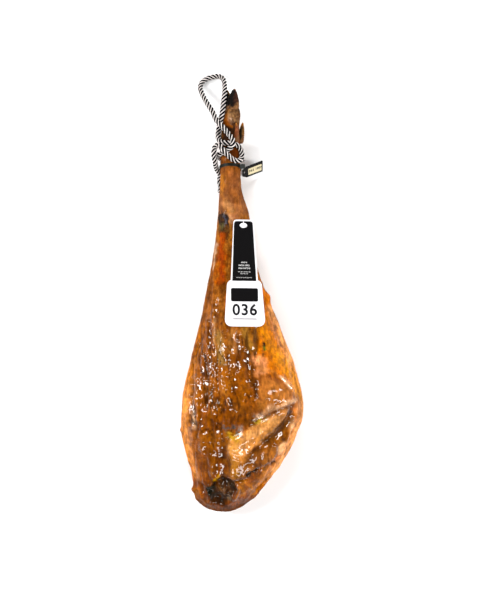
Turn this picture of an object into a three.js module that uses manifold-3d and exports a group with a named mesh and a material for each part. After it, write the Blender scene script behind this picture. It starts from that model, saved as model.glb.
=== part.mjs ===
// A whole cured ham on the bone, lying on its skin side with the trimmed meat side up.
// Its trotter points along +Y and its hip end along -Y. Millimetres, +Z up.
// The origin is on the table, under the middle of the leg.
// A striped cord with a hanging loop is knotted round the ankle, a plastic band with a
// numbered seal is closed round it below the knot, and a card tag lies on the shank.
import * as THREE from 'three';
import { mergeVertices } from 'three/addons/utils/BufferGeometryUtils.js';
import Module from 'manifold-3d';

const wasm = await Module();
wasm.setup();

// ---------------------------------------------------------------- driving dimensions
const HIP_END_Y = -424;
const FOOT_END_Y = 396;
const HIP_CAP = 32;          // length over which the hip end rounds shut
const FOOT_CAP = 15;         // the same at the toes
const WAIST = 0.46;          // height of the widest line, as a share of the thickness
const TOP_SQUARENESS = 0.86; // exponent of the upper half's section, 1 is an ellipse
const GAP = 0.4;             // clearance between pieces that touch

// The leg's outline: length, left edge, right edge, underside and top.
// An underside below zero is where the weight flattens the leg on the table.
const LEG = [
  [-424, -84, 8, 14, 62],
  [-392, -95, 28, 2, 84],
  [-358, -99, 55, -4, 102],
  [-310, -111, 89, -7, 118],
  [-262, -121, 113, -8, 129],
  [-214, -120, 123, -8, 134],
  [-166, -114, 116, -8, 133],
  [-118, -102, 101, -6, 127],
  [-70, -91, 83, -3, 118],
  [-22, -79, 64, 1, 108],
  [26, -71, 45, 4, 98.5],
  [74, -61, 28.5, 7, 88.5],
  [122, -54, 22.5, 10.5, 78],
  [170, -49, 15, 15, 69.5],
  [218, -45.5, 1, 19, 64],
  [262, -43.5, -3, 20, 62],
  [310, -44, -3, 20, 62],
  [350, -41, -6, 21, 62],
  [374, -37, -3.5, 23, 60],
  [396, -30, -6, 27, 56],
];

// Claws: base point, tip x, length, half width, half thickness.
const CLAWS = [
  { base: [-19, 379, 49], tipX: -15.5, length: 47.5, width: 12.5, thick: 9.5 },
  { base: [-25, 379, 32], tipX: -30.5, length: 47.5, width: 10.5, thick: 9 },
  { base: [-11, 318, 56.5], tipX: -12, length: 40, width: 5.5, thick: 6 },
  { base: [-3, 316, 43], tipX: 1, length: 43, width: 6.5, thick: 6 },
];

// The ankle, which the cord and the band go round.
const ANKLE_X = -23.5;
const ANKLE_Z = 41;
const ANKLE_R = 21;

const BAND_Y = 267;          // the band leans: its top is further up the leg
const BAND_LEAN = 6;
const BAND_WIDTH = 6;
const BAND_THICK = 1.8;

const LOCK_SIZE = [9, 9, 7]; // round the ankle, along the leg, outwards
const LOCK_ANGLE = -62;      // degrees from the top of the ankle, towards its right side

const SEAL_LENGTH = 38;
const SEAL_HEIGHT = 27;
const SEAL_THICK = 2.6;
const SEAL_CORNER = [8, 271, 38];    // inner upper corner of the plate
const SEAL_ALONG = [34, 14, -14];    // direction of its long side
const SEAL_DOWN = [0, -20, -20];     // direction of its short side
const LABEL_THICK = 0.8;

const CARD_THICK = 1.2;
const CARD_HOLE = [2.8, 150.4];      // the hole's centre, seen from above
const CARD_SLOPE = 10.8;             // degrees that the card drops towards the trotter
const CARD_ROLL = 8;                 // degrees that it drops towards its right edge
const CARD_TURN = 0.9;               // degrees that its foot is turned to the right

const ROPE_R = 5.25;
const ROPE_SIDES = 8;
const ROPE_STEPS = 84;               // rings along the cord

// ---------------------------------------------------------------- the leg's surface
// A smooth curve through one column of LEG.
function along(column, y) {
  let i = 0;
  while (i < LEG.length - 2 && y > LEG[i + 1][0]) i++;
  const slope = (k) => {
    const a = LEG[Math.max(k - 1, 0)];
    const b = LEG[Math.min(k + 1, LEG.length - 1)];
    return (b[column] - a[column]) / (b[0] - a[0]);
  };
  const span = LEG[i + 1][0] - LEG[i][0];
  const t = (y - LEG[i][0]) / span;
  return (2 * t ** 3 - 3 * t ** 2 + 1) * LEG[i][column]
    + (t ** 3 - 2 * t ** 2 + t) * span * slope(i)
    + (3 * t ** 2 - 2 * t ** 3) * LEG[i + 1][column]
    + (t ** 3 - t ** 2) * span * slope(i + 1);
}

// How far open the section is at y: 1 along the leg, falling to 0 at its two ends.
function openness(y) {
  const past = Math.max((HIP_END_Y + HIP_CAP - y) / HIP_CAP, (y - FOOT_END_Y + FOOT_CAP) / FOOT_CAP, 0);
  return Math.sqrt(Math.max(1 - past * past, 0));
}

// A point of the skin: y along the leg, angle round it from its right side over the top.
function legPoint(y, angle) {
  const [left, right, low, high] = [1, 2, 3, 4].map((column) => along(column, y));
  const open = openness(y);
  const c = Math.cos(angle);
  const s = Math.sin(angle);
  const waist = low + WAIST * (high - low);
  const bend = s > 0 ? TOP_SQUARENESS : 1;
  const x = (left + right) / 2 + open * (right - left) / 2 * Math.sign(c) * Math.abs(c) ** bend;
  const reach = s > 0 ? high - waist : waist - low;
  const z = waist + open * reach * Math.sign(s) * Math.abs(s) ** bend;
  return new THREE.Vector3(x, y, Math.max(z, 0));
}

// Height of the leg's top at x, y, or null beside it.
function legTop(x, y) {
  const [left, right, low, high] = [1, 2, 3, 4].map((column) => along(column, y));
  const across = Math.abs(x - (left + right) / 2) / ((right - left) / 2);
  if (across >= 1) return null;
  const waist = low + WAIST * (high - low);
  const sine = Math.sqrt(1 - across ** (2 / TOP_SQUARENESS));
  return waist + (high - waist) * sine ** TOP_SQUARENESS;
}

// ---------------------------------------------------------------- mesh helpers
// A closed skin over rings of equal count, shut at each end by a fan to a point.
function skinOver(rings, first, last) {
  const count = rings[0].length;
  const points = [first, ...rings.flat(), last];
  const faces = [];
  const at = (ring, k) => 1 + ring * count + (k % count);
  for (let k = 0; k < count; k++) {
    faces.push(0, at(0, k), at(0, k + 1));
    faces.push(points.length - 1, at(rings.length - 1, k + 1), at(rings.length - 1, k));
    for (let ring = 0; ring < rings.length - 1; ring++) {
      faces.push(at(ring, k), at(ring + 1, k), at(ring + 1, k + 1));
      faces.push(at(ring, k), at(ring + 1, k + 1), at(ring, k + 1));
    }
  }
  const geometry = new THREE.BufferGeometry().setFromPoints(points);
  geometry.setIndex(faces);
  return geometry;
}

function toSolid(geometry) {
  const bare = new THREE.BufferGeometry().setAttribute('position', geometry.getAttribute('position'));
  if (geometry.index) bare.setIndex(geometry.index);
  const merged = mergeVertices(bare, 1e-4);
  return new wasm.Manifold(new wasm.Mesh({
    numProp: 3,
    vertProperties: new Float32Array(merged.attributes.position.array),
    triVerts: new Uint32Array(merged.index.array),
  }));
}

function toGeometry(solid) {
  const mesh = solid.getMesh();
  const geometry = new THREE.BufferGeometry();
  geometry.setAttribute('position', new THREE.BufferAttribute(mesh.vertProperties, 3));
  geometry.setIndex(new THREE.BufferAttribute(mesh.triVerts, 1));
  return geometry;
}

function material(colour, roughness) {
  return new THREE.MeshStandardMaterial({ color: colour, roughness, metalness: 0 });
}

const ham = new THREE.Group();

function add(name, geometry, finish) {
  const mesh = new THREE.Mesh(geometry, finish);
  mesh.name = name;
  ham.add(mesh);
  return mesh;
}

// ---------------------------------------------------------------- leg with its trotter
const LEG_SIDES = 40;
const LEG_STEP = 17;         // spacing of the rings
const CAP_RINGS = 4;         // rings in each rounded end

function ringHeights() {
  const heights = [];
  for (let k = CAP_RINGS; k > 0; k--) {
    heights.push(HIP_END_Y + HIP_CAP * (1 - Math.sin(k / (CAP_RINGS + 1) * Math.PI / 2)));
  }
  const start = HIP_END_Y + HIP_CAP;
  const end = FOOT_END_Y - FOOT_CAP;
  const steps = Math.round((end - start) / LEG_STEP);
  for (let k = 0; k <= steps; k++) heights.push(start + (end - start) * k / steps);
  for (let k = 1; k <= CAP_RINGS; k++) {
    heights.push(end + FOOT_CAP * Math.sin(k / (CAP_RINGS + 1) * Math.PI / 2));
  }
  return heights;
}

function legEnd(y) {
  const mid = (a, b) => (along(a, y) + along(b, y)) / 2;
  return new THREE.Vector3(mid(1, 2), y, mid(3, 4));
}

function legGeometry() {
  const rings = ringHeights().map((y) => {
    const ring = [];
    for (let k = 0; k < LEG_SIDES; k++) ring.push(legPoint(y, 2 * Math.PI * k / LEG_SIDES));
    return ring;
  });
  return skinOver(rings, legEnd(HIP_END_Y), legEnd(FOOT_END_Y));
}

// A horn claw: a pointed round body, flattened and leaning towards its tip.
function clawGeometry({ base, tipX, length, width, thick }) {
  const profile = [[0, 0], [0.72, 0.05], [1, 0.25], [0.9, 0.5], [0.62, 0.76], [0.3, 0.94], [0, 1]];
  const geometry = new THREE.LatheGeometry(profile.map(([r, h]) => new THREE.Vector2(r, h)), 14);
  geometry.scale(width, length, thick);
  geometry.rotateZ(-Math.atan2(tipX - base[0], length));
  geometry.translate(...base);
  return geometry;
}

let leg = toSolid(legGeometry());
for (const claw of CLAWS) leg = leg.add(toSolid(clawGeometry(claw)));
add('ham', toGeometry(leg), material('#8f4a1c', 0.35));

// ---------------------------------------------------------------- band, lock and seal
// The band follows the skin, a gap off it, as a closed ring of rectangular section.
function bandGeometry() {
  const steps = 40;
  const points = [];
  for (let k = 0; k < steps; k++) {
    const angle = 2 * Math.PI * k / steps;
    const y = BAND_Y + BAND_LEAN * Math.sin(angle);
    for (const [side, off] of [[-1, 0], [1, 0], [1, BAND_THICK], [-1, BAND_THICK]]) {
      const skin = legPoint(y, angle);
      const out = new THREE.Vector3(skin.x - ANKLE_X, 0, skin.z - ANKLE_Z).normalize();
      const point = skin.addScaledVector(out, GAP + off);
      point.y += side * BAND_WIDTH / 2;
      points.push(point);
    }
  }
  const faces = [];
  for (let k = 0; k < steps; k++) {
    for (let c = 0; c < 4; c++) {
      const [a, b] = [4 * k + c, 4 * k + (c + 1) % 4];
      const [d, e] = [4 * ((k + 1) % steps) + c, 4 * ((k + 1) % steps) + (c + 1) % 4];
      faces.push(a, d, b, b, d, e);
    }
  }
  const geometry = new THREE.BufferGeometry().setFromPoints(points);
  geometry.setIndex(faces);
  return geometry;
}
add('ankle_band', bandGeometry(), material('#1c2019', 0.45));

// The lock sits on the band, turned to face outwards.
const lock = new THREE.Group();
lock.position.set(ANKLE_X, BAND_Y + BAND_LEAN * Math.cos(LOCK_ANGLE * Math.PI / 180), ANKLE_Z);
lock.rotation.y = -LOCK_ANGLE * Math.PI / 180;
const lockMesh = new THREE.Mesh(new THREE.BoxGeometry(...LOCK_SIZE), material('#1c2019', 0.45));
lockMesh.name = 'band_lock';
lockMesh.position.z = ANKLE_R + 3 * GAP + BAND_THICK + LOCK_SIZE[2] / 2;
lock.add(lockMesh);
ham.add(lock);

// The seal's plate narrows to a lug at the lock. Its own frame has x along it and y up it.
const seal = new THREE.Group();
const sealX = new THREE.Vector3(...SEAL_ALONG).normalize();
const sealY = new THREE.Vector3(...SEAL_DOWN).normalize().negate();
seal.matrixAutoUpdate = false;
seal.matrix.makeBasis(sealX, sealY, new THREE.Vector3().crossVectors(sealX, sealY));
seal.matrix.setPosition(...SEAL_CORNER);
ham.add(seal);

const LUG_LENGTH = 9;
const LUG_HEIGHT = 15;
const LABEL_SIZE = [31, 16];  // the paper in the middle of the plate

function sealPlate() {
  const shape = new THREE.Shape();
  shape.moveTo(0, 0);
  shape.lineTo(SEAL_LENGTH, 0);
  shape.lineTo(SEAL_LENGTH, -SEAL_HEIGHT);
  shape.lineTo(0, -SEAL_HEIGHT);
  shape.lineTo(-LUG_LENGTH, -(SEAL_HEIGHT + LUG_HEIGHT) / 2);
  shape.lineTo(-LUG_LENGTH, -(SEAL_HEIGHT - LUG_HEIGHT) / 2);
  const slot = new THREE.Path();
  slot.absellipse(-LUG_LENGTH / 2, -SEAL_HEIGHT / 2, 1.6, 4.5, 0, 2 * Math.PI, false);
  shape.holes.push(slot);
  return new THREE.ExtrudeGeometry(shape, { depth: SEAL_THICK, bevelEnabled: false, curveSegments: 6 });
}
const plate = new THREE.Mesh(sealPlate(), material('#0d0d0d', 0.4));
plate.name = 'seal_plate';
seal.add(plate);

const label = new THREE.Mesh(
  new THREE.BoxGeometry(...LABEL_SIZE, LABEL_THICK),
  material('#d8cdae', 0.6),
);
label.name = 'seal_label';
label.position.set(SEAL_LENGTH / 2, -SEAL_HEIGHT / 2, SEAL_THICK + GAP + LABEL_THICK / 2);
seal.add(label);

// ---------------------------------------------------------------- card tag
// A paddle: a neck that widens downwards, then a broader panel. The hole's centre is 0, 0.
const CARD = {
  top: 11.5, topHalf: 20, topCorner: 7,
  neckEnd: -111, neckHalf: 27,
  panelTop: -123, panelHalf: 35,
  footHalf: 39.8, foot: -204, footCorner: 15,
  holeHalf: [7.3, 4.8],
};

function cardShape() {
  const c = CARD;
  const shape = new THREE.Shape();
  shape.moveTo(-c.topHalf + c.topCorner, c.top);
  shape.lineTo(c.topHalf - c.topCorner, c.top);
  shape.quadraticCurveTo(c.topHalf, c.top, c.topHalf + 0.3, c.top - c.topCorner);
  shape.lineTo(c.neckHalf, c.neckEnd);
  shape.quadraticCurveTo(c.panelHalf, c.neckEnd - 4, c.panelHalf, c.panelTop);
  shape.lineTo(c.footHalf, c.foot + c.footCorner);
  shape.quadraticCurveTo(c.footHalf, c.foot, c.footHalf - c.footCorner, c.foot);
  shape.lineTo(-c.footHalf + c.footCorner, c.foot);
  shape.quadraticCurveTo(-c.footHalf, c.foot, -c.footHalf, c.foot + c.footCorner);
  shape.lineTo(-c.panelHalf, c.panelTop);
  shape.quadraticCurveTo(-c.panelHalf, c.neckEnd - 4, -c.neckHalf, c.neckEnd);
  shape.lineTo(-c.topHalf - 0.3, c.top - c.topCorner);
  shape.quadraticCurveTo(-c.topHalf, c.top, -c.topHalf + c.topCorner, c.top);
  const hole = new THREE.Path();
  hole.absellipse(0, 0, ...c.holeHalf, 0, 2 * Math.PI, false);
  shape.holes.push(hole);
  return shape;
}

function addCard() {
  const geometry = new THREE.ExtrudeGeometry(cardShape(), {
    depth: CARD_THICK, bevelEnabled: false, curveSegments: 6,
  });
  const mesh = add('card_tag', geometry, material('#f2f0ee', 0.5));
  const degree = Math.PI / 180;
  mesh.rotation.set(-CARD_SLOPE * degree, CARD_ROLL * degree, CARD_TURN * degree, 'XYZ');
  mesh.position.set(...CARD_HOLE, 0);
  mesh.updateMatrixWorld(true);
  // The card is let down until it is a gap above the highest skin under it.
  let lift = -Infinity;
  for (let u = -CARD.footHalf; u <= CARD.footHalf; u += 4) {
    for (let v = CARD.foot; v <= CARD.top; v += 4) {
      if (v > CARD.neckEnd && Math.abs(u) > CARD.neckHalf) continue;
      const point = new THREE.Vector3(u, v, 0).applyMatrix4(mesh.matrixWorld);
      const skin = legTop(point.x, point.y);
      if (skin !== null) lift = Math.max(lift, skin - point.z);
    }
  }
  mesh.position.z = lift + GAP;
}
addCard();

// ---------------------------------------------------------------- cord
// A point beside the leg: angle in degrees from its top towards the left, y along the leg,
// and layer, which is 0 for a strand on the skin and 1 for one that lies over another.
const LAYER = 2 * ROPE_R + 0.5;
function wrap(angle, y, layer) {
  const turn = (90 + angle) * Math.PI / 180;
  const across = new THREE.Vector3().subVectors(legPoint(y, turn + 0.05), legPoint(y, turn - 0.05));
  const out = new THREE.Vector3(across.z, 0, -across.x).normalize();
  return legPoint(y, turn).addScaledVector(out, GAP + ROPE_R + layer * LAYER).toArray();
}

// The cord's route, from the end tucked under the right of the knot to the tail's end.
const ROUTE = [
  // round the back of the ankle, left to right over the front, and up to the loop
  wrap(-112, 286, 0.05), wrap(-150, 288, 0.05), wrap(168, 288, 0.05), wrap(126, 289, 0.05),
  wrap(84, 291, 0.05), wrap(50, 294, 0.05), wrap(25, 296.5, 0.05), wrap(8, 302, 0.4),
  wrap(-7, 310, 1), wrap(-6.5, 321, 0.95), wrap(8, 335, 0.35), wrap(32, 350, 0.65),
  // over the crossing, off the side of the foot and round the loop on the table
  wrap(50, 360, 1), [-60, 381, 54], [-71.5, 400.5, 41], [-81.5, 421, 25], [-84.8, 434.5, 14],
  [-80.5, 445.5, 8.5], [-71, 452.5, 6], [-59, 456, 7], [-47, 456.5, 12], [-38.5, 450, 20],
  [-35, 437, 32], [-35, 417, 45], [-37, 399, 51], wrap(56, 380, 0.1), wrap(60, 360, 0.05),
  wrap(73, 338, 0.05),
  // across the front under the first strand, and round the right ring
  wrap(60, 324, 0.05), wrap(34, 317, 0.05), wrap(-2, 314, 0.05), wrap(-32, 310, 0.05),
  wrap(-54, 299, 0.05), wrap(-53, 286, 0.1), wrap(-33, 280, 0.15), wrap(-10, 282, 0.25),
  // up over the first strand, and round the left ring
  wrap(8, 291, 0.87), wrap(20, 301, 1.39), wrap(32, 310.5, 1.25), wrap(45, 307.5, 1.28),
  wrap(51.5, 295, 1.28),
  // down behind the band, and out along the shank to the tail's cut end
  wrap(68, 279, 0.6), wrap(103, 267, 0.3), [-44.5, 255, 14], [-45.5, 244, 7.5], [-43, 231, 5.8],
  [-45, 220, 5.7],
];

function ropeGeometry() {
  const path = new THREE.CatmullRomCurve3(ROUTE.map((p) => new THREE.Vector3(...p)), false, 'centripetal');
  const section = new THREE.Shape();
  for (let k = 0; k < ROPE_SIDES; k++) {
    const turn = 2 * Math.PI * (k + 0.5) / ROPE_SIDES;
    const corner = [ROPE_R * Math.cos(turn), ROPE_R * Math.sin(turn)];
    if (k) section.lineTo(...corner);
    else section.moveTo(...corner);
  }
  return new THREE.ExtrudeGeometry(section, { steps: ROPE_STEPS, extrudePath: path, bevelEnabled: false });
}
add('hanging_cord', ropeGeometry(), material('#4a4546', 0.85));

export default ham;
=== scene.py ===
"""A whole cured ham lying meat side up on a pale floor.

It has a knotted hanging cord, a plastic band with a numbered seal, and a card tag.
Plan positions are in mm in the part's frame: +Y to the trotter, +Z up, +X to the right.
"""
import math

import bpy
import numpy as np
from mathutils import Euler, Matrix, Vector


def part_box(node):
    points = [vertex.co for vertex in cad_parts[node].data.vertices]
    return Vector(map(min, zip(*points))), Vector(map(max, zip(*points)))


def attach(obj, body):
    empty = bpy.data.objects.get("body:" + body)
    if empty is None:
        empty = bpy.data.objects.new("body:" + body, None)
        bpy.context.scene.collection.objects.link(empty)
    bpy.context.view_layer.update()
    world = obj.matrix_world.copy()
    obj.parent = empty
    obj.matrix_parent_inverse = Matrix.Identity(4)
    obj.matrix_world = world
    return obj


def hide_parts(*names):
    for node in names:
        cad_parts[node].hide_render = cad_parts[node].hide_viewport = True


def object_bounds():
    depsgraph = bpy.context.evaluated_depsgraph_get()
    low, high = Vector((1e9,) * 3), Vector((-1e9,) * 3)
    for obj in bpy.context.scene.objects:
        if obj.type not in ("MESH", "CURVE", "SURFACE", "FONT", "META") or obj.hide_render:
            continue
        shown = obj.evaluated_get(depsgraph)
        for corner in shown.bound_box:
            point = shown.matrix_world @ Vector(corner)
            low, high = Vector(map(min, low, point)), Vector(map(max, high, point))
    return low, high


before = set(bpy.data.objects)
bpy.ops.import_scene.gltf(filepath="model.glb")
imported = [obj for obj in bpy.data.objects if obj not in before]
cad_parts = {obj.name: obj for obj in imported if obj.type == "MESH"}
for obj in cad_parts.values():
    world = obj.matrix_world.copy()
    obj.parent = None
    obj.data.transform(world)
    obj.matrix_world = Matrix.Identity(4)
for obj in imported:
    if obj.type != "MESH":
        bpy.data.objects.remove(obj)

CAD_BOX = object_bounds()

bl_info = {
    "name": "Cured Ham",
    "version": (1, 0, 0),
    "blender": (4, 5, 0),
    "location": "3D View > Sidebar > Ham",
    "description": "Builds a whole cured ham with its cord, seal and card tag",
    "category": "Add Mesh",
}

MM = 0.001

# ------------------------------------------------------------------ the leg's outline
HIP_END, FOOT_END = -424, 396
HIP_CAP, FOOT_CAP = 32, 15      # lengths over which the two ends round shut
WAIST = 0.46                    # height of the widest line, as a share of the thickness
TOP_SQUARENESS = 0.86           # exponent of the upper half's section, 1 is an ellipse

# y, left edge, right edge, underside, top, in mm
LEG = np.array((
    (-424, -84, 8, 14, 62), (-392, -95, 28, 2, 84), (-358, -99, 55, -4, 102),
    (-310, -111, 89, -7, 118), (-262, -121, 113, -8, 129), (-214, -120, 123, -8, 134),
    (-166, -114, 116, -8, 133), (-118, -102, 101, -6, 127), (-70, -91, 83, -3, 118),
    (-22, -79, 64, 1, 108), (26, -71, 45, 4, 98.5), (74, -61, 28.5, 7, 88.5),
    (122, -54, 22.5, 10.5, 78), (170, -49, 15, 15, 69.5), (218, -45.5, 1, 19, 64),
    (262, -43.5, -3, 20, 62), (310, -44, -3, 20, 62), (350, -41, -6, 21, 62),
    (374, -37, -3.5, 23, 60), (396, -30, -6, 27, 56),
), dtype=float)


def along(column, y):
    """One column of LEG at y, on a smooth curve."""
    y = np.asarray(y, float)
    i = np.clip(np.searchsorted(LEG[:, 0], y, side="left") - 1, 0, len(LEG) - 2)

    def slope(k):
        a, b = LEG[np.maximum(k - 1, 0)], LEG[np.minimum(k + 1, len(LEG) - 1)]
        return (b[..., column] - a[..., column]) / (b[..., 0] - a[..., 0])

    span = LEG[i + 1, 0] - LEG[i, 0]
    t = (y - LEG[i, 0]) / span
    return ((2 * t**3 - 3 * t**2 + 1) * LEG[i, column] + (t**3 - 2 * t**2 + t) * span * slope(i)
            + (3 * t**2 - 2 * t**3) * LEG[i + 1, column] + (t**3 - t**2) * span * slope(i + 1))


def leg_point(y, angle):
    """The skin at y along the leg, angle round it from its right side over its top."""
    left, right, low, high = (along(column, y) for column in (1, 2, 3, 4))
    past_hip = (HIP_END + HIP_CAP - y) / HIP_CAP
    past_foot = (y - FOOT_END + FOOT_CAP) / FOOT_CAP
    past = np.maximum(np.maximum(past_hip, past_foot), 0)
    opening = np.sqrt(np.maximum(1 - past**2, 0))
    c, s = np.cos(angle), np.sin(angle)
    waist = low + WAIST * (high - low)
    bend = np.where(s > 0, TOP_SQUARENESS, 1.0)
    x = (left + right) / 2 + opening * (right - left) / 2 * np.sign(c) * np.abs(c)**bend
    reach = np.where(s > 0, high - waist, waist - low)
    z = waist + opening * reach * np.sign(s) * np.abs(s)**bend
    return np.stack([x, np.broadcast_to(y, x.shape), np.maximum(z, 0)], axis=-1)


# ------------------------------------------------------------------ helpers for making
def noise(points, seed):
    """Smooth noise from about -1 to 1 at each point, with features about one unit apart."""
    table = np.random.default_rng(seed).uniform(-1, 1, 4096)
    cell = np.floor(points).astype(np.int64)
    part = points - cell
    part = part**3 * (part * (part * 6 - 15) + 10)
    total = np.zeros(points.shape[:-1])
    for corner in np.ndindex(2, 2, 2):
        key = (cell + corner) * (73856093, 19349663, 83492791)
        weight = np.where(corner, part, 1 - part).prod(axis=-1)
        total += weight * table[(key[..., 0] ^ key[..., 1] ^ key[..., 2]) & 4095]
    return total


def rough(points, size, seed, octaves=3):
    """Noise of several octaves. size is the largest feature's, in mm, on each axis or all."""
    total, strength = 0, 1
    for octave in range(octaves):
        place = points / np.asarray(size) * 2**octave + 7.3 * octave
        total = total + strength * noise(place, seed + octave)
        strength *= 0.5
    return total


def near_line(plan, points, width):
    """1 on a line through plan points, falling smoothly to 0 beyond a width from it."""
    nearest = np.full(plan.shape[:-1], np.inf)
    for a, b in zip(np.array(points, float), np.array(points[1:], float)):
        share = np.clip(((plan - a) @ (b - a)) / ((b - a) @ (b - a)), 0, 1)
        nearest = np.minimum(nearest, ((plan - a - share[..., None] * (b - a))**2).sum(axis=-1))
    return np.exp(-nearest / width**2)


def inside(plan, outline, soft):
    """1 inside a plan outline, falling smoothly to 0 outside it, over a width of soft."""
    nearest = np.full(plan.shape[:-1], np.inf)
    within = np.zeros(plan.shape[:-1], bool)
    corners = np.array(outline, float)
    for a, b in zip(corners, np.roll(corners, -1, axis=0)):
        share = np.clip(((plan - a) @ (b - a)) / ((b - a) @ (b - a)), 0, 1)
        nearest = np.minimum(nearest, ((plan - a - share[..., None] * (b - a))**2).sum(axis=-1))
        crosses = (a[1] > plan[..., 1]) != (b[1] > plan[..., 1])
        run = (b[0] - a[0]) / (b[1] - a[1] if b[1] != a[1] else 1)
        within ^= crosses & (plan[..., 0] < a[0] + run * (plan[..., 1] - a[1]))
    depth = np.sqrt(nearest) * np.where(within, 1, -1)
    return smooth(depth, -soft / 2, soft / 2)


def smooth(value, low, high):
    """0 below low, 1 above high, and a smooth step between them."""
    t = np.clip((value - low) / (high - low), 0, 1)
    return t * t * (3 - 2 * t)


def linear(colour):
    """An sRGB hex colour as linear red, green and blue."""
    parts = [int(colour[i:i + 2], 16) / 255 for i in (1, 3, 5)]
    return [p / 12.92 if p <= 0.04045 else ((p + 0.055) / 1.055)**2.4 for p in parts]


def add_object(name, data, materials=(), slot=None, matrix=None):
    """A new object with its materials, which rides with the part's root when a slot is given."""
    made = bpy.data.objects.new(name, data)
    bpy.context.scene.collection.objects.link(made)
    for material in materials:
        data.materials.append(material)
    if matrix is not None:
        made.matrix_world = matrix
    if slot:
        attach(made, "root")
    return made


def mesh_of(name, points, faces):
    """A smooth-shaded mesh from points in mm and faces."""
    mesh = bpy.data.meshes.new(name)
    mesh.from_pydata((np.asarray(points) * MM).tolist(), [], [list(face) for face in faces])
    mesh.polygons.foreach_set("use_smooth", [True] * len(mesh.polygons))
    mesh.update()
    return mesh


def skin_faces(rings, count):
    """Quads over rings of count points each, in order."""
    ring, k = np.meshgrid(np.arange(rings - 1), np.arange(count), indexing="ij")
    a, b = ring * count + k, ring * count + (k + 1) % count
    return np.stack([a, a + count, b + count, b], axis=-1).reshape(-1, 4)


def end_fan(first, count, tip, turned):
    """Triangles from a ring of count points that starts at first to the point tip."""
    k = np.arange(count)
    a, b = first + k, first + (k + 1) % count
    return np.stack([a, b, np.full(count, tip)] if turned else [b, a, np.full(count, tip)], axis=-1)


def on_face(name, across, up, spot):
    """The matrix of a flat node's outer face, x and y along it, over a plan spot in mm."""
    out = Vector(across).cross(Vector(up)).normalized()
    level = max(out.dot(vertex.co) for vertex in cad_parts[name].data.vertices) + 0.02 * MM
    x, y = Vector(spot) * MM
    origin = Vector((x, y, (level - out.x * x - out.y * y) / out.z))
    columns = (Vector(across).normalized(), Vector(up).normalized(), out)
    return Matrix.Translation(origin) @ Matrix(columns).transposed().to_4x4()


# ------------------------------------------------------------------ materials
def add_node(tree, kind, inputs=(), **settings):
    """Adds a shader node with its settings, and gives its inputs values or links."""
    made = tree.nodes.new(kind)
    for name, value in settings.items():
        setattr(made, name, value)
    for name, value in dict(inputs).items():
        if isinstance(value, bpy.types.NodeSocket):
            tree.links.new(value, made.inputs[name])
        else:
            made.inputs[name].default_value = value
    return made


def new_material(name):
    """An empty material with its shader and the output that shows it."""
    material = bpy.data.materials.new(name)
    material.use_nodes = True
    tree = material.node_tree
    tree.nodes.clear()
    shader = add_node(tree, "ShaderNodeBsdfPrincipled")
    add_node(tree, "ShaderNodeOutputMaterial", {"Surface": shader.outputs["BSDF"]})
    return material, tree, shader


def object_place(tree):
    """The place on the object, which the patterns are laid out by."""
    return add_node(tree, "ShaderNodeTexCoord").outputs["Object"]


def point_value(tree, name, output):
    """A value or colour that the mesh stores at each of its points."""
    return add_node(tree, "ShaderNodeAttribute", attribute_name=name).outputs[output]


def stretched(tree, place, scale):
    """A place scaled on each axis, which draws a pattern out where the scale is small."""
    return add_node(tree, "ShaderNodeMapping", {"Vector": place, "Scale": scale}).outputs["Vector"]


def noise_texture(tree, place, size, detail, **more):
    """Noise with features about size mm apart."""
    inputs = {"Vector": place, "Scale": 1 / (size * MM), "Detail": detail, **more}
    return add_node(tree, "ShaderNodeTexNoise", inputs).outputs["Fac"]


def shading(tree, pattern, darkest, lightest):
    """The middle of a noise pattern spread over a range of brightness."""
    return add_node(tree, "ShaderNodeMapRange", {
        "Value": pattern, "From Min": 0.3, "From Max": 0.7,
        "To Min": darkest, "To Max": lightest}).outputs["Result"]


def shaded_colour(tree, colour, tone):
    """A colour made lighter or darker by a tone."""
    return add_node(tree, "ShaderNodeVectorMath", {
        0: colour, 1: tone}, operation="MULTIPLY").outputs["Vector"]


def blend(tree, share, first, second):
    """A mix of two linear colours, the second where share is 1."""
    return add_node(tree, "ShaderNodeMix", {
        0: share, 6: first, 7: second}, data_type="RGBA").outputs[2]


def scaled(colour, factor, lift=0.0):
    """A hex colour as linear red, green, blue and alpha, made brighter or darker."""
    return [c * factor + lift for c in linear(colour)] + [1.0]


def link_bump(tree, shader, heights):
    """Chains bumps, given as (socket, depth in mm) pairs, into the shader's normal."""
    normal = None
    for height, depth in heights:
        inputs = {"Height": height, "Distance": depth * MM, "Strength": 1.0}
        if normal is not None:
            inputs["Normal"] = normal
        normal = add_node(tree, "ShaderNodeBump", inputs).outputs["Normal"]
    tree.links.new(normal, shader.inputs["Normal"])


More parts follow.
